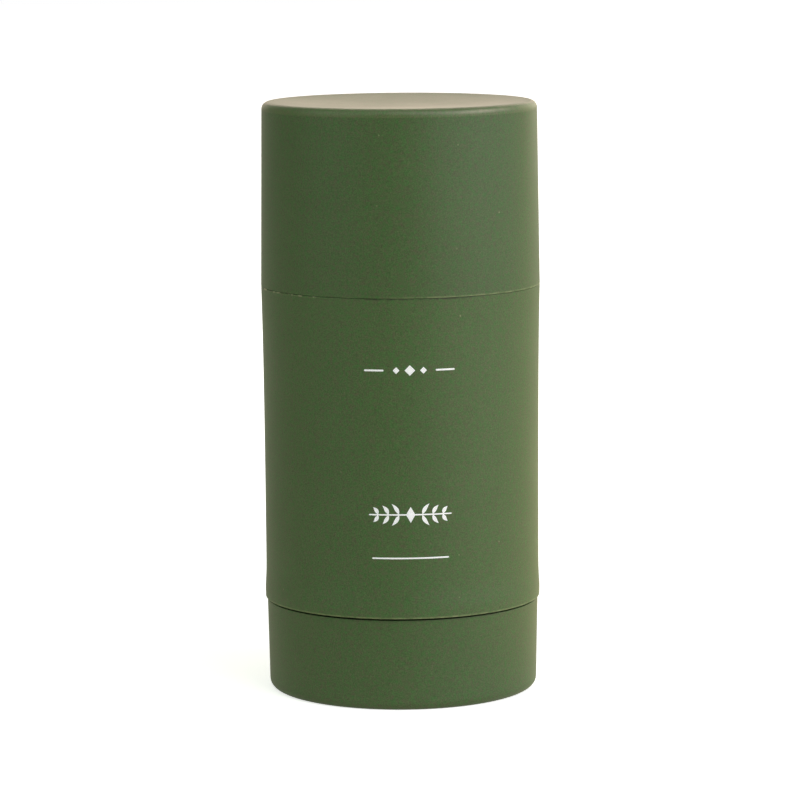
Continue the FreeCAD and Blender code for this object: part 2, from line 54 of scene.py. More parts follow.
# walls, and the gap between an outer shell and the piece inside it
SHELL_WALL = 1.3
LINER_WALL = 0.8
CROWN_WALL = 1.4
FLOOR_WALL = 1.4
SLIP = 0.1

# outer shape
CAP_DRAFT = 0.39  # the cap is this much narrower in radius at its crown than at its rim
BASE_DRAFT = 0.3
CROWN_SINK = 0.7  # how far the middle of the cap's top has sunk below its edge
FLARE, FLARE_REACH = 0.36, 14.0  # the barrel widens towards its shoulder by this much, over about this length
SWELL, SWELL_HEIGHT, SWELL_REACH = 0.18, 16.4, 2.4  # and once more near its lower edge
GAP_LIFT = 0.1  # the shadow gap above the base is this much higher than in the plain solids

# roundings
CROWN_ROUND = 1.15
FOOT_ROUND = 1.4
SEAM_ROUND = 0.07
FINE_ROUND = 0.12  # what a mould leaves on an edge that is meant to be sharp

# inside
BORE_RADIUS = 19.0
NECK_RADIUS = 20.45
NECK_BEAD = 0.22
LEDGE = 1.2  # height of the barrel's rebate for the flange of the inner tube
SHAFT_HOLE = 3.23

# meshes
AROUND = 288  # steps round the axis in a turned surface
ARC_STEPS = 8  # steps in a rounding
FLAT_RUN = 1.2  # a straight run beside an arc starts at this many times the arc's reach
SHARP = math.radians(38)  # an edge that turns more than this is drawn as an edge

WHITE_IN_GLOSS = 0.2  # how much of the white that the camera sees also shows in reflections


def extent(node):
    """(foot, top, outer radius) of a CAD node, in millimetres."""
    low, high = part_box(node)
    return low.z / MM, high.z / MM, high.x / MM


def profile(corners, closed=True):
    """Points (radius, height) through corners (radius, height, rounding).

    A rounded corner becomes an arc that touches both sides. With h for half the angle between the sides,
    the arc starts rounding / tan(h) along each side, and its centre is rounding / sin(h) along the line that
    halves them. One more point on each side, just outside the arc, keeps the shading of the straight run
    flat.
    """
    corners = np.array(corners, float)
    places, roundings = corners[:, :2], corners[:, 2]
    stretches = []
    for i, (place, rounding) in enumerate(zip(places, roundings)):
        if rounding == 0:
            stretches.append(place[None, :])
            continue
        back = places[i - 1] - place
        ahead = places[(i + 1) % len(places)] - place
        back, ahead = back / np.linalg.norm(back), ahead / np.linalg.norm(ahead)
        half = 0.5 * math.acos(np.clip(back @ ahead, -1, 1))
        reach = rounding / math.tan(half)
        centre = (back + ahead) / np.linalg.norm(back + ahead) * rounding / math.sin(half)
        turn = math.pi - 2 * half
        share = np.linspace(0, 1, ARC_STEPS + 1)[:, None]
        first, last = back * reach - centre, ahead * reach - centre
        arc = centre + (np.sin((1 - share) * turn) * first + np.sin(share * turn) * last) / math.sin(turn)
        stretches.append(place + np.vstack([FLAT_RUN * back * reach, arc, FLAT_RUN * ahead * reach]))
    points = np.vstack(stretches)
    return np.vstack([points, points[:1]]) if closed else points


def grid_faces(rows, columns):
    """Four-sided faces of a grid of points that are numbered row by row."""
    row, column = np.mgrid[0:rows - 1, 0:columns - 1]
    corner = row * columns + column
    return np.stack([corner, corner + columns, corner + columns + 1, corner + 1], axis=-1).reshape(-1, 4)


def end_faces(rows, columns):
    """A flat face on the first row of such a grid and one on its last, where each row ends where it began."""
    last = rows * columns
    return [list(range(columns - 1)), list(range(last - columns, last - 1))]


def turned(outline, start=0.0, end=360.0, steps=AROUND):
    """Carries an outline (radius, height) round the axis: x = r cos a, y = r sin a, z = height.

    A part of a turn gets a flat face on each end.
    """
    angles = np.radians(np.linspace(start, end, steps + 1))[:, None]
    radius, height = outline[None, :, 0], outline[None, :, 1]
    points = np.stack([radius * np.cos(angles), radius * np.sin(angles), height + 0 * angles], axis=-1)
    faces = grid_faces(*points.shape[:2]).tolist()
    if end - start < 360:
        faces += end_faces(*points.shape[:2])
    return points.reshape(-1, 3), faces


def plate(corners, thickness, angle):
    """A flat rib: corners (radius, height) given a thickness and stood on the axis at an angle in degrees.

    x and y are radius and across, turned by the angle.
    """
    outline = np.array(corners + corners[:1], float)
    across = np.array([-0.5, 0.5])[:, None] * thickness
    radius, height = outline[None, :, 0], outline[None, :, 1]
    x, y = radius + 0 * across, across + 0 * radius
    turn = math.radians(angle)
    points = np.stack([x * math.cos(turn) - y * math.sin(turn), x * math.sin(turn) + y * math.cos(turn),
                       height + 0 * across], axis=-1)
    rows_columns = points.shape[:2]
    return points.reshape(-1, 3), grid_faces(*rows_columns).tolist() + end_faces(*rows_columns)


def helix(outline, lead, turns, steps=72):
    """Carries a closed outline (radius, height) up a left-handed helix: the angle falls as the height grows.

    height = outline height + lead * a / 2 pi, where a is the angle travelled. Both ends get a flat face.
    """
    travelled = np.linspace(0, 2 * math.pi * turns, int(steps * turns) + 1)[:, None]
    radius, height = outline[None, :, 0], outline[None, :, 1]
    points = np.stack([radius * np.cos(travelled), -radius * np.sin(travelled),
                       height + lead * travelled / (2 * math.pi)], axis=-1)
    rows_columns = points.shape[:2]
    return points.reshape(-1, 3), grid_faces(*rows_columns).tolist() + end_faces(*rows_columns)


def printed(middle, half, radius, angle, thickness):
    """A closed flat ribbon wrapped round the axis, for a shape of ink.

    middle holds the points (round, up) of its centre line on the unrolled surface, and half its half-width
    at each, zero at both ends. An edge point is the centre point plus or minus half along the line's normal.
    It is wrapped as turn = angle + round / radius(up), x = r sin(turn), y = -r cos(turn), with
    r = radius(up) plus or minus thickness.
    """
    run = np.gradient(middle, axis=0)
    run /= np.linalg.norm(run, axis=1, keepdims=True)
    normal = np.stack([-run[:, 1], run[:, 0]], axis=-1)
    side = np.array([-1, -1, 1, 1, -1])[None, :]
    proud = np.array([-1, 1, 1, -1, -1])[None, :]
    flat = middle[:, None, :] + (half[:, None] * side)[..., None] * normal[:, None, :]
    r = radius(flat[..., 1])
    turn = math.radians(angle) + flat[..., 0] / r
    r = r + thickness * proud
    points = np.stack([r * np.sin(turn), -r * np.cos(turn), flat[..., 1]], axis=-1)
    return points.reshape(-1, 3), grid_faces(*points.shape[:2]).tolist()


def piece(name, skins, body, material, stands_for=(), soften=0.0):
    """One object from several closed skins in millimetres, welded, turned outwards and shaded.

    soften is the width in millimetres of a small bevel on the edges that are still sharp.
    """
    points, faces, count = [], [], 0
    for skin_points, skin_faces in skins:
        points.append(skin_points * MM)
        faces += [[corner + count for corner in face] for face in skin_faces]
        count += len(skin_points)
    mesh = bpy.data.meshes.new(name)
    mesh.from_pydata(np.vstack(points), [], faces)
    weld = bmesh.new()
    weld.from_mesh(mesh)
    bmesh.ops.remove_doubles(weld, verts=weld.verts, dist=1e-7)
    bmesh.ops.recalc_face_normals(weld, faces=weld.faces)
    weld.to_mesh(mesh)
    weld.free()
    mesh.shade_smooth()
    mesh.set_sharp_from_angle(angle=SHARP)
    mesh.materials.append(material)
    made = bpy.data.objects.new(name, mesh)
    bpy.context.scene.collection.objects.link(made)
    if soften:
        bevel = made.modifiers.new("mould_edges", "BEVEL")
        bevel.width = soften * MM
        bevel.segments = 2
        bevel.limit_method = "ANGLE"
        bevel.angle_limit = SHARP
    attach(made, body)
    if stands_for:
        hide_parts(*stands_for)
    return made


# ---------------------------------------------------------------- materials


def colour(code):
    """An sRGB hex code as linear red, green and blue with a full alpha."""
    parts = [int(code[i:i + 2], 16) / 255 for i in (1, 3, 5)]
    return [p / 12.92 if p <= 0.04045 else ((p + 0.055) / 1.055) ** 2.4 for p in parts] + [1.0]


def add(tree, kind, settings=None, **inputs):
    """Adds a node. settings are its own properties; each input is a number, a colour or a socket to link.

    An input's name is written with _ for a space, and one that ends in a digit is taken by its place.
    """
    made = tree.nodes.new(kind)
    for name, value in (settings or {}).items():
        setattr(made, name, value)
    for name, value in inputs.items():
        socket = made.inputs[int(name[2:])] if name.startswith("at") else made.inputs[name.replace("_", " ")]
        if isinstance(value, bpy.types.NodeSocket):
            tree.links.new(value, socket)
        else:
            socket.default_value = value
    return made


def new_material(name):
    material = bpy.data.materials.new(name)
    material.use_nodes = True
    material.node_tree.nodes.clear()
    return material, material.node_tree


def per_metre(size):
    """Noise scale of a pattern whose features are this many millimetres wide."""
    return 1 / (size * MM)


def times(tree, *factors):
    """The product of several sockets and numbers."""
    product = factors[0]
    for factor in factors[1:]:
        product = add(tree, "ShaderNodeMath", {"operation": "MULTIPLY"}, at0=product, at1=factor).outputs[0]
    return product


def near(tree, value, middle, reach):
    """1 where a value in metres is at a middle in millimetres, falling to 0 at a reach from it."""
    away = add(tree, "ShaderNodeMath", {"operation": "SUBTRACT"}, at0=value, at1=middle * MM).outputs[0]
    away = add(tree, "ShaderNodeMath", {"operation": "ABSOLUTE"}, at0=away).outputs[0]
    return add(tree, "ShaderNodeMapRange", Value=away, From_Min=reach * MM, From_Max=0.0).outputs[0]


def satin_green_abs(name, shade=1.0, painted_rim_highlight=None, chipped_rim=None, crown_highlight_and_wear=None, painted_seam_shade=None):
    """Spark-eroded ABS moulding, coloured in the mass: an even olive green with a fine satin grain.

    Two equally light pigments, one green and one ochre, show as faint flecks over a finer grain of light and
    dark. The grain scatters the light, so highlights are wide and faint, and the surface turns pale only at a
    grazing angle. Handling leaves sparse pale specks. shade sets this moulding's green a little lighter or
    darker. The other arguments give its wear, its painted highlights and its painted shade, with heights and
    places in millimetres:

    painted_rim_highlight: height of a rim with a painted highlight, and how much of it at its left, its
    middle and its right.
    chipped_rim: height of a rim that is chipped on its left.
    crown_highlight_and_wear: height of a crown whose rounding has painted highlights and some wear, most of
    all on its front right, and a paler patch on the front of its top.
    painted_seam_shade: height of a seam with painted shade, how far it reaches up and down, the least and the
    most of it, and the X where it starts and ends.
    """
    material, tree = new_material(name)
    place = add(tree, "ShaderNodeTexCoord").outputs["Object"]
    axes = add(tree, "ShaderNodeSeparateXYZ", Vector=place).outputs

    def noise(size, **more):
        return add(tree, "ShaderNodeTexNoise", Vector=place, Scale=per_metre(size), **more).outputs["Fac"]

    def ramp(value, low, high, to_low=0.0, to_high=1.0):
        return add(tree, "ShaderNodeMapRange", Value=value, From_Min=low, From_Max=high, To_Min=to_low,
                   To_Max=to_high).outputs[0]

    def across(value, low, high, to_low=0.0, to_high=1.0):
        """A ramp whose low and high are places in millimetres."""
        return ramp(value, low * MM, high * MM, to_low, to_high)

    def at_height(middle, reach):
        return near(tree, axes["Z"], middle, reach)

    # the moulding as new: pigments, slow changes of shade, and the grain, drawn as coarse as it needs to show
    pigment = noise(0.5, Detail=2.0, Roughness=0.6)
    tint = add(tree, "ShaderNodeMixRGB", at0=pigment, at1=colour("#29742E"), at2=colour("#5E5148")).outputs[0]
    cloud = ramp(noise(9.0, Detail=3.0), 0.0, 1.0, 0.95 * shade, 1.05 * shade)
    grain = ramp(noise(0.17, Detail=1.0), 0.0, 1.0, 0.35, 1.65)
    look = add(tree, "ShaderNodeVectorMath", {"operation": "SCALE"}, at0=tint,
               Scale=times(tree, cloud, grain)).outputs[0]

    # specks: three cells in ten hold a pale dot, up to 0.3 mm across where the surface cuts it
    cell = add(tree, "ShaderNodeTexVoronoi", Vector=place, Scale=per_metre(3.2))
    pick = add(tree, "ShaderNodeSeparateColor", at0=cell.outputs["Color"]).outputs["Red"]
    specks = times(tree, ramp(cell.outputs["Distance"], 0.06, 0.03), ramp(pick, 0.7, 1.0, 0.0, 0.5))
    layers = [(specks, "#A6A184")]

    patchiness = noise(1.0, Detail=3.0, Roughness=0.6)
    flat = add(tree, "ShaderNodeVectorMath", {"operation": "MULTIPLY"}, at0=place, at1=(1, 1, 0)).outputs[0]
    radius = add(tree, "ShaderNodeVectorMath", {"operation": "LENGTH"}, at0=flat).outputs["Value"]
    if painted_rim_highlight:
        height, left, middle, right = painted_rim_highlight
        # a painted highlight along the rim, patchy, set for its left, its middle and its right
        highlight_strength = times(tree, across(axes["X"], -4, 3, left, middle),
                       across(axes["X"], 8, 14, 1.0, right / middle))
        layers.append((times(tree, at_height(height, 0.25), ramp(patchiness, 0.35, 0.6, 0.25), highlight_strength), "#90A076"))
    if chipped_rim:
        left = across(axes["X"], -12, -16)
        corner = across(radius, BARREL_RADIUS - 0.35, BARREL_RADIUS - 0.2)
        chip = ramp(noise(2.4, Detail=5.0, Roughness=0.75), 0.52, 0.6)
        layers.append((times(tree, at_height(chipped_rim, 0.3), corner, chip, left), "#D0CAB0"))
    if crown_highlight_and_wear:
        # painted highlight on the rounding as a whole, a little
        band = across(axes["Z"], crown_highlight_and_wear - 1.42, crown_highlight_and_wear - 1.27)
        side = across(axes["Z"], crown_highlight_and_wear - 0.02, crown_highlight_and_wear - 0.25)
        layers.append((times(tree, band, side, ramp(patchiness, 0.3, 0.7, 0.08, 0.16)), "#A39C7A"))
        # a painted highlight with some wear: a streak on its front right, rising slightly to the right
        front = across(axes["Y"], -12, -15)
        lower = add(tree, "ShaderNodeMath", {"operation": "MULTIPLY_ADD"}, at0=axes["X"], at1=-0.0144,
                    at2=axes["Z"]).outputs[0]
        streak = times(tree, near(tree, lower, crown_highlight_and_wear - 0.80, 0.42), near(tree, axes["X"], 13.2, 7.0))
        layers.append((times(tree, streak, ramp(patchiness, 0.2, 0.6, 0.3, 0.68), front), "#ADA992"))
        # a pale patch on the front of the top, paler towards the front
        on_top = times(tree, across(axes["Z"], crown_highlight_and_wear - 0.8, crown_highlight_and_wear - 0.6),
                       across(radius, 21.6, 21.1))
        paler_front = times(tree, near(tree, axes["X"], 3.5, 14.0), across(axes["Y"], 4, -12))
        layers.append((times(tree, paler_front, on_top, ramp(patchiness, 0.3, 0.7, 0.2, 0.35)), "#B0AA90"))
        # the line where the top turns over, palest: a painted highlight with some wear
        crest = times(tree, at_height(crown_highlight_and_wear - 0.08, 0.16), across(radius, 21.5, 21.7))
        layers.append((times(tree, crest, ramp(patchiness, 0.3, 0.7, 0.3, 0.6)), "#B0AA90"))
    if painted_seam_shade:
        height, reach, least, most, start, end = painted_seam_shade
        # painted shade in a seam, patchy, held between two X
        held = times(tree, across(axes["X"], start, start + 3), across(axes["X"], end, end - 3))
        seam_shade = times(tree, at_height(height, reach), ramp(patchiness, 0.4, 0.6, least, most), held)
        layers.append((seam_shade, "#20261A"))
    for mask, code in layers:
        look = add(tree, "ShaderNodeMixRGB", at0=mask, at1=look, at2=colour(code)).outputs[0]

    satin = ramp(noise(12.0, Detail=5.0, Roughness=0.65), 0.3, 0.7, 0.40, 0.44)
    bump = add(tree, "ShaderNodeBump", Strength=0.2, Distance=0.02 * MM, Height=noise(0.2, Detail=1.0))
    shader = add(tree, "ShaderNodeBsdfPrincipled", Base_Color=look, Roughness=satin, IOR=1.5,
                 Normal=bump.outputs[0])
    add(tree, "ShaderNodeOutputMaterial", Surface=shader.outputs[0])
    return material


def clouded(tree, size, code, other_code, **more):
    """A tint that drifts between two close colours, in clouds of this many millimetres."""
    place = add(tree, "ShaderNodeTexCoord").outputs["Object"]
    cloud = add(tree, "ShaderNodeTexNoise", Vector=place, Scale=per_metre(size), **more).outputs["Fac"]
    return add(tree, "ShaderNodeMixRGB", at0=cloud, at1=colour(code), at2=colour(other_code)).outputs[0]


def white_ink(name):
    """Screen-printed ink: an opaque white film, laid a little unevenly, with a dull sheen. It glows a little
    bluish, painted light that keeps it bright white under any lamp."""
    material, tree = new_material(name)
    tint = clouded(tree, 0.3, "#F6F8F8", "#FDFEFE", Detail=2.0)
    # the emission is painted light: the ink glows a faint blue
    shader = add(tree, "ShaderNodeBsdfPrincipled", Base_Color=tint, Roughness=0.5, IOR=1.5,
                 Emission_Color=colour("#CDDBFF"), Emission_Strength=0.25)
    add(tree, "ShaderNodeOutputMaterial", Surface=shader.outputs[0])
    return material


def natural_polypropylene(name):
    """Moulded polypropylene without pigment: milky white and waxy, so light gets a short way into it."""
    material, tree = new_material(name)
    tint = clouded(tree, 6.0, "#E9E7DE", "#F1EFE8", Detail=4.0, Distortion=0.6)
    place = add(tree, "ShaderNodeTexCoord").outputs["Object"]
    texture = add(tree, "ShaderNodeTexNoise", Vector=place, Scale=per_metre(0.5), Detail=2.0)
    bump = add(tree, "ShaderNodeBump", Strength=0.08, Distance=0.02 * MM, Height=texture.outputs["Fac"])
    shader = add(tree, "ShaderNodeBsdfPrincipled", Base_Color=tint, Roughness=0.34, IOR=1.49,
                 Normal=bump.outputs[0], Subsurface_Weight=0.15, Subsurface_Scale=1.0 * MM)
    add(tree, "ShaderNodeOutputMaterial", Surface=shader.outputs[0])
    return material


def white_acetal(name):
    """Moulded acetal: denser and whiter than polypropylene, with a slippery, slightly glossy skin."""
    material, tree = new_material(name)
    tint = clouded(tree, 3.0, "#EDEDE9", "#F4F4F1", Detail=2.0)
    shader = add(tree, "ShaderNodeBsdfPrincipled", Base_Color=tint, Roughness=0.27, IOR=1.48)
    add(tree, "ShaderNodeOutputMaterial", Surface=shader.outputs[0])
    return material


def black_silicone(name):
    """Moulded silicone rubber: black, dull, and dusty where it isn't wiped."""
    material, tree = new_material(name)
    tint = clouded(tree, 0.6, "#1B1B1C", "#2A2A2A", Detail=2.0)
    shader = add(tree, "ShaderNodeBsdfPrincipled", Base_Color=tint, Roughness=0.6, IOR=1.41)
    add(tree, "ShaderNodeOutputMaterial", Surface=shader.outputs[0])
    return material


# ---------------------------------------------------------------- pieces

CAP_RIM, CROWN, CAP_RADIUS = extent("cap_shell")
LINER_FOOT, LINER_TOP, _ = extent("cap_liner")
BARREL_FOOT, SHOULDER, BARREL_RADIUS = extent("barrel_shell")
FINGER_TIP, NECK_TOP, FLANGE_RADIUS = extent("product_tube")
_, BASE_TOP, BASE_RADIUS = extent("base_shell")
SCREW_FOOT, SCREW_TOP, COLLAR_RADIUS = extent("lift_screw")
BARREL_FOOT += GAP_LIFT
BASE_TOP += GAP_LIFT


def barrel_radius(up):
    """Outside of the barrel: a waist, an exponential flare up to the shoulder and a bell-shaped swell at its
    foot."""
    flare = FLARE * np.exp((up - SHOULDER) / FLARE_REACH)
    swell = SWELL * np.exp(-((up - SWELL_HEIGHT) / SWELL_REACH) ** 2)
    return BARREL_RADIUS - FLARE + flare + swell


def make_outer_cap():
    """A cup with a slight draft, a fine radius on its rim and a rounded crown.

    The crown is sunk as a shallow bowl: height = edge - sink (1 - out^2), with out the share of the bowl's
    radius.
    """
    top = CAP_RADIUS - CAP_DRAFT
    ceiling = CROWN - CROWN_WALL
    sunk = top - 1.5 * CROWN_ROUND  # radius of the bowl
    out = np.linspace(0, 1, 24)[:-1]
    bowl = np.stack([sunk * out, CROWN - CROWN_SINK * (1 - out ** 2)], axis=-1)
    outline = profile([
        (sunk, CROWN, 0),
        (top, CROWN, CROWN_ROUND),
        (CAP_RADIUS, CAP_RIM, SEAM_ROUND),
        (CAP_RADIUS - SHELL_WALL, CAP_RIM, FINE_ROUND),
        (top - SHELL_WALL, ceiling, FINE_ROUND),
        (0, ceiling, 0),
    ], closed=False)
    outline = np.vstack([bowl, outline])
    # a painted highlight on the rim; painted highlights and some wear on the crown
    abs_green = satin_green_abs("cap_abs", 0.93, painted_rim_highlight=(CAP_RIM + 0.1, 0.05, 0.65, 0.65),
                                crown_highlight_and_wear=CROWN)
    piece("outer_cap", [turned(outline)], "cap", abs_green, ["cap_shell"])


def make_outer_barrel():
    """A sleeve with flared ends, rebated at the top for the flange of the tube inside it."""
    foot = barrel_radius(BARREL_FOOT)
    rebate = FLANGE_RADIUS + SLIP / 2
    ledge = SHOULDER - LEDGE
    wave = np.linspace(SHOULDER - 1, BARREL_FOOT + 1, 60)
    outline = profile([
        (barrel_radius(SHOULDER), SHOULDER, SEAM_ROUND),
        *((barrel_radius(up), up, 0) for up in wave),
        (foot, BARREL_FOOT, SEAM_ROUND),
        (foot - SHELL_WALL, BARREL_FOOT, FINE_ROUND),
        (BARREL_RADIUS - SHELL_WALL, ledge, FINE_ROUND),
        (rebate, ledge, FINE_ROUND),
        (rebate, SHOULDER, FINE_ROUND),
    ])
    # a painted highlight just above the foot, and painted shade in the seam at the shoulder
    abs_green = satin_green_abs("barrel_abs", painted_rim_highlight=(BARREL_FOOT + 0.1, 0.6, 0.95, 0.6),
                                chipped_rim=SHOULDER, painted_seam_shade=(SHOULDER - 0.05, 0.25, 0.1, 0.85, -8, 14))
    piece("outer_barrel", [turned(outline)], "barrel", abs_green, ["barrel_shell"])


def make_outer_base():
    """A shallow cup that stands on a ring, with a gate dimple under it and six drive keys inside."""
    foot = BASE_RADIUS - BASE_DRAFT
    inside = 2.2  # height of the cup's floor
    ring, recess, ring_round = 17.5, 0.8, 0.4
    dimple, dimple_depth = 1.5, 0.3
    outline = profile([
        (0, recess + dimple_depth, 0),
        (dimple, recess + dimple_depth, FINE_ROUND),
        (dimple, recess, FINE_ROUND),
        (ring, recess, ring_round),
        (ring + recess, 0, ring_round),
        (foot, 0, FOOT_ROUND),
        (BASE_RADIUS, BASE_TOP, SEAM_ROUND),
        (BASE_RADIUS - SHELL_WALL, BASE_TOP, FINE_ROUND),
        (foot - SHELL_WALL, inside, FINE_ROUND),
        (0, inside, 0),
    ], closed=False)
    key_inner, key_outer, key_foot, key_top = 20.4, 21.6, inside - 0.1, 11.5
    key = [(key_inner, key_foot), (key_outer, key_foot), (key_outer, key_top), (key_inner, key_top)]
    skins = [turned(outline)] + [plate(key, 1.6, 60 * i) for i in range(6)]
    # painted shade on the top of the base, where the barrel overhangs it
    abs_green = satin_green_abs("base_abs", 0.95, painted_seam_shade=(BASE_TOP, 0.45, 0.1, 0.25, -13, 17))
    piece("outer_base", skins, "base", abs_green, ["base_shell"])


def make_print():
    """Generic marks in white ink on the barrel: three lozenges between two rules, a twig with a lozenge in
    its middle, and a fine rule."""
    turn, thickness = 3.5, 0.03
    top, sprig, line = 55.7, 32.3, 25.2  # heights of the three marks

    def mark(start, end, half, bow=0.0, steps=24):
        """A ribbon from start to end, bowed sideways by bow. half gives its half-width at the share s."""
        s = np.linspace(0, 1, steps + 1)
        start, end = np.array(start, float), np.array(end, float)
        run = end - start
        sideways = np.array([-run[1], run[0]]) / np.linalg.norm(run)
        middle = start + s[:, None] * run + (4 * bow * s * (1 - s))[:, None] * sideways
        return printed(middle, half(s), barrel_radius, turn, thickness)

    def rule(width, length):
        """Round-ended: half the width, but a quarter circle over the last half-width of each end."""
        def half(s):
            from_end = np.minimum(s, 1 - s) * length / (width / 2)
            return width / 2 * np.sqrt(1 - (1 - np.clip(from_end, 0, 1)) ** 2)
        return half

    def leaf(width):
        """Widest a little before the middle, pointed at both ends: sin(pi s^0.8) to the power 1.2."""
        return lambda s: width / 2 * np.clip(np.sin(math.pi * s ** 0.8), 0, 1) ** 1.2

    def lozenge(width):
        """Widest in the middle, with straight edges to a point at both ends."""
        return lambda s: width / 2 * (1 - np.abs(2 * s - 1))

    marks = []
    for place, size in ((-2.2, 1.1), (0.0, 1.7), (2.2, 1.1)):
        marks.append(mark((place, top - size / 2), (place, top + size / 2), lozenge(size)))
    for side in (-1, 1):
        marks.append(mark((side * 4.2, top), (side * 7.4, top), rule(0.28, 3.2), steps=48))
    stem = 13.6
    marks.append(mark((-stem / 2, sprig), (stem / 2, sprig), rule(0.22, stem), steps=96))
    for place in (1.9, 3.6, 5.3):
        size = 2.5 - 0.2 * place
        for side in (-1, 1):
            for up in (-1, 1):
                tip = (side * (place + 0.55 * size), sprig + up * 0.84 * size)
                root = (side * place, sprig + up * 0.05)
                marks.append(mark(root, tip, leaf(0.62), bow=0.16 * side * up))
    marks.append(mark((0, sprig - 1.3), (0, sprig + 1.3), lozenge(1.5)))
    marks.append(mark((-6.3, line), (6.3, line), rule(0.24, 12.6), steps=96))
    piece("barrel_print", marks, "barrel", white_ink("screen_ink"))


def make_inner_cap(white):
    """The cup inside the cap: a bore that slips over the neck, then a thinner drafted wall."""
    top = CAP_RADIUS - CAP_DRAFT - SHELL_WALL - SLIP
    play = 0.3  # between the neck and this bore
    bore = NECK_RADIUS + play
    ceiling = LINER_TOP - LINER_WALL
    outline = profile([
        (0, LINER_TOP, 0),
        (top, LINER_TOP, 0.8),
        (CAP_RADIUS - SHELL_WALL - SLIP, LINER_FOOT, FINE_ROUND),
        (bore, LINER_FOOT, FINE_ROUND),
        (bore, NECK_TOP + play, 0),
        (top - LINER_WALL, ceiling, 0.5),
        (0, ceiling, 0),
    ], closed=False)
    piece("inner_cap", [turned(outline)], "cap", white, ["cap_liner"])


def make_inner_tube(white):
    """Neck, shoulder flange, wall and floor turned in one outline; ribs and latch fingers are added to it."""
    bead = SHOULDER + 3.5
    ledge = SHOULDER - LEDGE
    wall = BORE_RADIUS + 1.1
    under = 15.3
    above = under + FLOOR_WALL
    rim = under + 2.2  # top of the rim that centres the barrel's foot
    locating = barrel_radius(BARREL_FOOT) - SHELL_WALL - SLIP
    seat = above + 0.7  # where the spindle's collar rests
    outline = profile([
        (BORE_RADIUS, NECK_TOP, 0.4),
        (NECK_RADIUS, NECK_TOP, 0.4),
        (NECK_RADIUS, bead + 2 * NECK_BEAD, FINE_ROUND),
        (NECK_RADIUS + NECK_BEAD, bead + NECK_BEAD, FINE_ROUND),
        (NECK_RADIUS + NECK_BEAD, bead - NECK_BEAD, FINE_ROUND),
        (NECK_RADIUS, bead - 2 * NECK_BEAD, FINE_ROUND),
        (NECK_RADIUS, SHOULDER, 0.2),
        (FLANGE_RADIUS, SHOULDER, FINE_ROUND),
        (FLANGE_RADIUS, ledge, FINE_ROUND),
        (wall, ledge, 0.2),
        (wall, rim, 0.2),
        (locating, rim, FINE_ROUND),
        (locating, under, FINE_ROUND),
        (SHAFT_HOLE, under, FINE_ROUND),
        (SHAFT_HOLE, seat, FINE_ROUND),
        (COLLAR_RADIUS, seat, FINE_ROUND),
        (COLLAR_RADIUS + 0.7, above, FINE_ROUND),
        (BORE_RADIUS, above, 0.5),
    ])
    guide = [(BORE_RADIUS - 0.7, above - 0.7), (BORE_RADIUS + 0.5, above - 0.7),
             (BORE_RADIUS + 0.5, NECK_TOP - 4), (BORE_RADIUS - 0.7, NECK_TOP - 4.7)]
    spacer = [(wall - 0.5, above), (wall + 0.9, above), (wall + 0.9, ledge - 1.8), (wall - 0.5, ledge - 0.9)]
    finger_inner, finger_outer, latch = 16.9, 18.3, 18.8
    root, latch_round = under + 0.5, 0.1
    finger = profile([
        (finger_outer, root, 0),
        (finger_outer, 8.1, latch_round),
        (latch, 7.6, latch_round),
        (latch, 6.6, latch_round),
        (finger_outer - (finger_outer - finger_inner) / 3, FINGER_TIP, FINE_ROUND),
        (finger_inner, FINGER_TIP, FINE_ROUND),
        (finger_inner, root, 0),
    ])
    gap = math.degrees(0.8 / 17.6)  # half the slot between two fingers, as an angle
    skins = [turned(outline)]
    skins += [plate(guide, 1.4, 90 * i) for i in range(4)]
    skins += [plate(spacer, 1.0, 60 * i) for i in range(6)]
    skins += [turned(finger, 60 * i + gap, 60 * i + 60 - gap, 24) for i in range(6)]
    piece("inner_tube", skins, "barrel", white, ["product_tube"], soften=0.12)


def make_spindle(acetal):
    """Hexagon end, shaft with the seal's groove, collar and core turned; the ridge is carried up a helix."""
    shaft, core = 3.15, 3.0
    shaft_foot, collar_foot, collar_top = 12.9, 17.5, 19.0
    groove, groove_foot, groove_top = 2.3, 15.75, 16.75
    outline = profile([
        (0, shaft_foot, 0),
        (shaft, shaft_foot, FINE_ROUND),
        (shaft, groove_foot, 0.05),
        (groove, groove_foot, 0.05),
        (groove, groove_top, 0.05),
        (shaft, groove_top, 0.05),
        (shaft, collar_foot, 0.05),
        (COLLAR_RADIUS, collar_foot, FINE_ROUND),
        (COLLAR_RADIUS, collar_top - 0.5, FINE_ROUND),
        (COLLAR_RADIUS - 0.5, collar_top, FINE_ROUND),
        (core, collar_top, 0.3),
        (core, SCREW_TOP - 1.0, 0.3),
        (2.0, SCREW_TOP, 0.3),
        (0, SCREW_TOP, 0),
    ], closed=False)
    hexagon = 5.0 / math.sqrt(3)  # corner radius of a hexagon that is 5 mm across its flats
    drive = profile([
        (0, SCREW_FOOT, 0),
        (hexagon, SCREW_FOOT, FINE_ROUND),
        (hexagon, shaft_foot + 0.3, 0),
        (0, shaft_foot + 0.3, 0),
    ], closed=False)
    start, lead, turns = 21.5, 5.0, 10.5
    ridge = profile([
        (core - 0.3, start - 1.1, 0),
        (core, start - 1.1, 0),
        (core + 1.1, start - 0.6, 0.15),
        (core + 1.1, start + 0.6, 0.15),
        (core, start + 1.1, 0),
        (core - 0.3, start + 1.1, 0),
    ])
    skins = [turned(outline, steps=96), turned(drive, steps=6), helix(ridge, lead, turns)]
    piece("spindle", skins, "base", acetal, ["lift_screw"])


def dress_hidden_mouldings(white, rubber):
    """The carrier, the base's inner wheel and the seal keep their CAD surfaces and get their materials."""
    for node, material in (("platform", white), ("base_hub", white), ("screw_seal", rubber)):
        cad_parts[node].material_slots[0].material = material


# ---------------------------------------------------------------- light, floor and camera


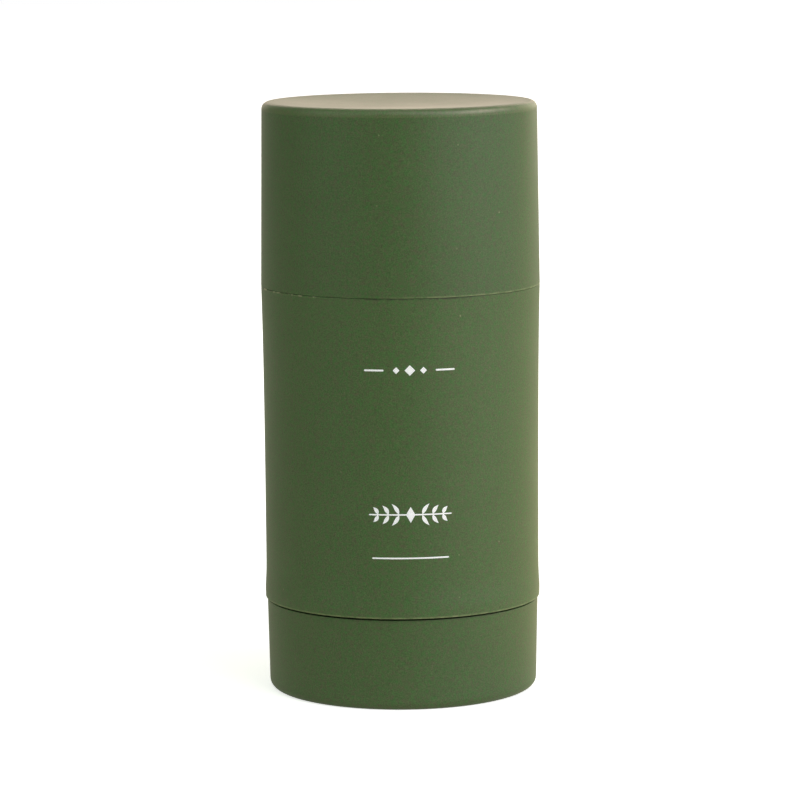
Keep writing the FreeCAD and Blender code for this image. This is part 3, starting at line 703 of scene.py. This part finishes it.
def seen_as_white(tree):
    """How far a ray sees plain white instead of the room: fully from the camera, in part in reflections and
    through clear parts."""
    path = add(tree, "ShaderNodeLightPath").outputs
    gloss = add(tree, "ShaderNodeMath", {"operation": "ADD"}, at0=path["Is Glossy Ray"],
                at1=path["Is Transmission Ray"]).outputs[0]
    return add(tree, "ShaderNodeMath", {"operation": "MULTIPLY_ADD"}, at0=gloss, at1=WHITE_IN_GLOSS,
               at2=path["Is Camera Ray"]).outputs[0]


def make_floor():
    """A pale floor. The camera sees it as near white with a soft shadow; on the pack it throws warm light.

    The warm light is that of paper, with one glow round the foot, weaker on the left, and one behind the pack
    on the right. Each fades with the distance from the pack.
    """
    half = 3.0
    material, tree = new_material("paper_floor")
    place = add(tree, "ShaderNodeTexCoord").outputs["Object"]
    axes = add(tree, "ShaderNodeSeparateXYZ", Vector=place).outputs
    away = add(tree, "ShaderNodeVectorMath", {"operation": "LENGTH"}, at0=place).outputs["Value"]
    behind_right = add(tree, "ShaderNodeVectorMath", {"operation": "DOT_PRODUCT"}, at0=place,
                       at1=(0.94, 0.34, 0.0)).outputs["Value"]

    def ramp(value, low, high, to_low=0.0, to_high=1.0):
        """low and high are metres on the floor."""
        return add(tree, "ShaderNodeMapRange", Value=value, From_Min=low, From_Max=high, To_Min=to_low,
                   To_Max=to_high).outputs[0]

    def glowing(shader, code, strength):
        glow = add(tree, "ShaderNodeEmission", Color=colour(code), Strength=strength)
        return add(tree, "ShaderNodeAddShader", at0=shader.outputs[0], at1=glow.outputs[0])

    white = add(tree, "ShaderNodeBsdfDiffuse", Color=colour("#FAFAFA"))
    white = glowing(white, "#FFFFFF", ramp(away, 0.1, 0.4, 0.7, 1.0))
    round_the_foot = times(tree, ramp(away, 0.03, 0.12, 0.2, 0.0), ramp(axes["X"], -0.03, 0.01, 0.7, 1.0))
    at_the_back = times(tree, ramp(behind_right, 0.01, 0.06), ramp(away, 0.3, 0.6, 0.48, 0.0))
    paper = add(tree, "ShaderNodeBsdfDiffuse", Color=colour("#C9B99A"))
    paper = glowing(paper, "#FFF4E6", round_the_foot)
    paper = glowing(paper, "#FFE798", at_the_back)
    both = add(tree, "ShaderNodeMixShader", at0=seen_as_white(tree), at1=paper.outputs[0],
               at2=white.outputs[0])
    add(tree, "ShaderNodeOutputMaterial", Surface=both.outputs[0])
    corners = [(-half, -half, 0), (half, -half, 0), (half, half, 0), (-half, half, 0)]
    mesh = bpy.data.meshes.new("floor")
    mesh.from_pydata(corners, [], [(0, 1, 2, 3)])
    mesh.materials.append(material)
    floor = bpy.data.objects.new("floor", mesh)
    bpy.context.scene.collection.objects.link(floor)


def make_world():
    """A dim studio with a little light from the left and a bright warm backdrop, all white to the camera.

    Each glow falls off as the cosine of the angle from its middle, raised to a power.
    """
    glows = [  # where from, power, linear colour
        ((-1, 0, 0), 2, (0.122, 0.195, 0.023)),
        ((0, 1, 0), 12, (3.41, 2.68, 2.19)),
    ]
    world = bpy.data.worlds.new("studio")
    world.use_nodes = True
    tree = world.node_tree
    tree.nodes.clear()
    direction = add(tree, "ShaderNodeTexCoord").outputs["Generated"]
    room = (0.0, 0.0, 0.0)
    for middle, power, glow in glows:
        facing = add(tree, "ShaderNodeVectorMath", {"operation": "DOT_PRODUCT"}, at0=direction, at1=middle)
        facing = add(tree, "ShaderNodeMath", {"operation": "MAXIMUM"}, at0=facing.outputs["Value"], at1=0.0)
        share = add(tree, "ShaderNodeMath", {"operation": "POWER"}, at0=facing.outputs[0], at1=power)
        part = add(tree, "ShaderNodeVectorMath", {"operation": "SCALE"}, at0=glow, Scale=share.outputs[0])
        room = add(tree, "ShaderNodeVectorMath", {"operation": "ADD"}, at0=part.outputs[0],
                   at1=room).outputs[0]
    soft = add(tree, "ShaderNodeBackground", Color=room, Strength=1.0)
    white = add(tree, "ShaderNodeBackground", Color=(1.0, 1.0, 1.0, 1.0), Strength=1.0)
    both = add(tree, "ShaderNodeMixShader", at0=seen_as_white(tree), at1=soft.outputs[0],
               at2=white.outputs[0])
    add(tree, "ShaderNodeOutputWorld", Surface=both.outputs[0])
    bpy.context.scene.world = world


def make_softbox(name, azimuth, elevation, size, power, tint):
    """A square area light, size metres wide. Azimuth is 0 on the camera's side and grows to the right."""
    distance, pack_middle = 1.6, Vector((0, 0, 0.05))
    light = bpy.data.lights.new(name, "AREA")
    light.size = size
    light.energy = power
    light.color = tint
    lamp = bpy.data.objects.new(name, light)
    a, e = math.radians(azimuth), math.radians(elevation)
    towards = Vector((math.sin(a) * math.cos(e), -math.cos(a) * math.cos(e), math.sin(e)))
    lamp.location = pack_middle + towards * distance
    lamp.rotation_mode = "QUATERNION"
    lamp.rotation_quaternion = towards.to_track_quat("Z", "Y")
    bpy.context.scene.collection.objects.link(lamp)


def make_camera():
    """A long lens in front of the pack and a little above it, looking slightly down and tipped by under half
    a degree."""
    eye = Vector((-0.21, -649.1, 137.92)) * MM
    data = bpy.data.cameras.new("camera")
    data.lens = 177.9
    data.sensor_width = 36.0
    data.clip_end = 20.0
    camera = bpy.data.objects.new("camera", data)
    pitch, roll = math.radians(7.905), math.radians(-0.414)
    ahead = Vector((0, math.cos(pitch), -math.sin(pitch)))
    level, up = Vector((1, 0, 0)), Vector((0, math.sin(pitch), math.cos(pitch)))
    right = level * math.cos(roll) + up * math.sin(roll)
    top = up * math.cos(roll) - level * math.sin(roll)
    turn = Matrix((right, top, -ahead)).transposed().to_4x4()
    camera.matrix_world = Matrix.Translation(eye) @ turn
    bpy.context.scene.collection.objects.link(camera)
    bpy.context.scene.camera = camera


def make_pack():
    """All the pieces, with one white plastic for the inner mouldings."""
    white = natural_polypropylene("natural_polypropylene")
    make_outer_cap()
    make_outer_barrel()
    make_outer_base()
    make_print()
    make_inner_cap(white)
    make_inner_tube(white)
    make_spindle(white_acetal("white_acetal"))
    dress_hidden_mouldings(white, black_silicone("black_silicone"))


make_pack()
make_floor()
make_world()
# name, azimuth, elevation, size, watts, linear tint
make_softbox("window", 50, 30, 1.6, 15.2, (0.985, 0.976, 1.0))
make_softbox("far_window", 90, 25, 1.6, 8.3, (0.900, 0.918, 1.0))
make_softbox("back_lamp", 130, 20, 1.2, 2.15, (1.0, 0.923, 0.398))
make_softbox("rim_lamp", 150, 15, 1.0, 3.9, (1.0, 0.913, 0.697))
make_softbox("left_fill", -60, 30, 1.6, 6.95, (0.866, 1.0, 0.893))
make_softbox("overhead", 20, 60, 1.2, 5.6, (0.955, 1.0, 0.873))
make_camera()
bpy.context.scene.view_settings.view_transform = "Standard"
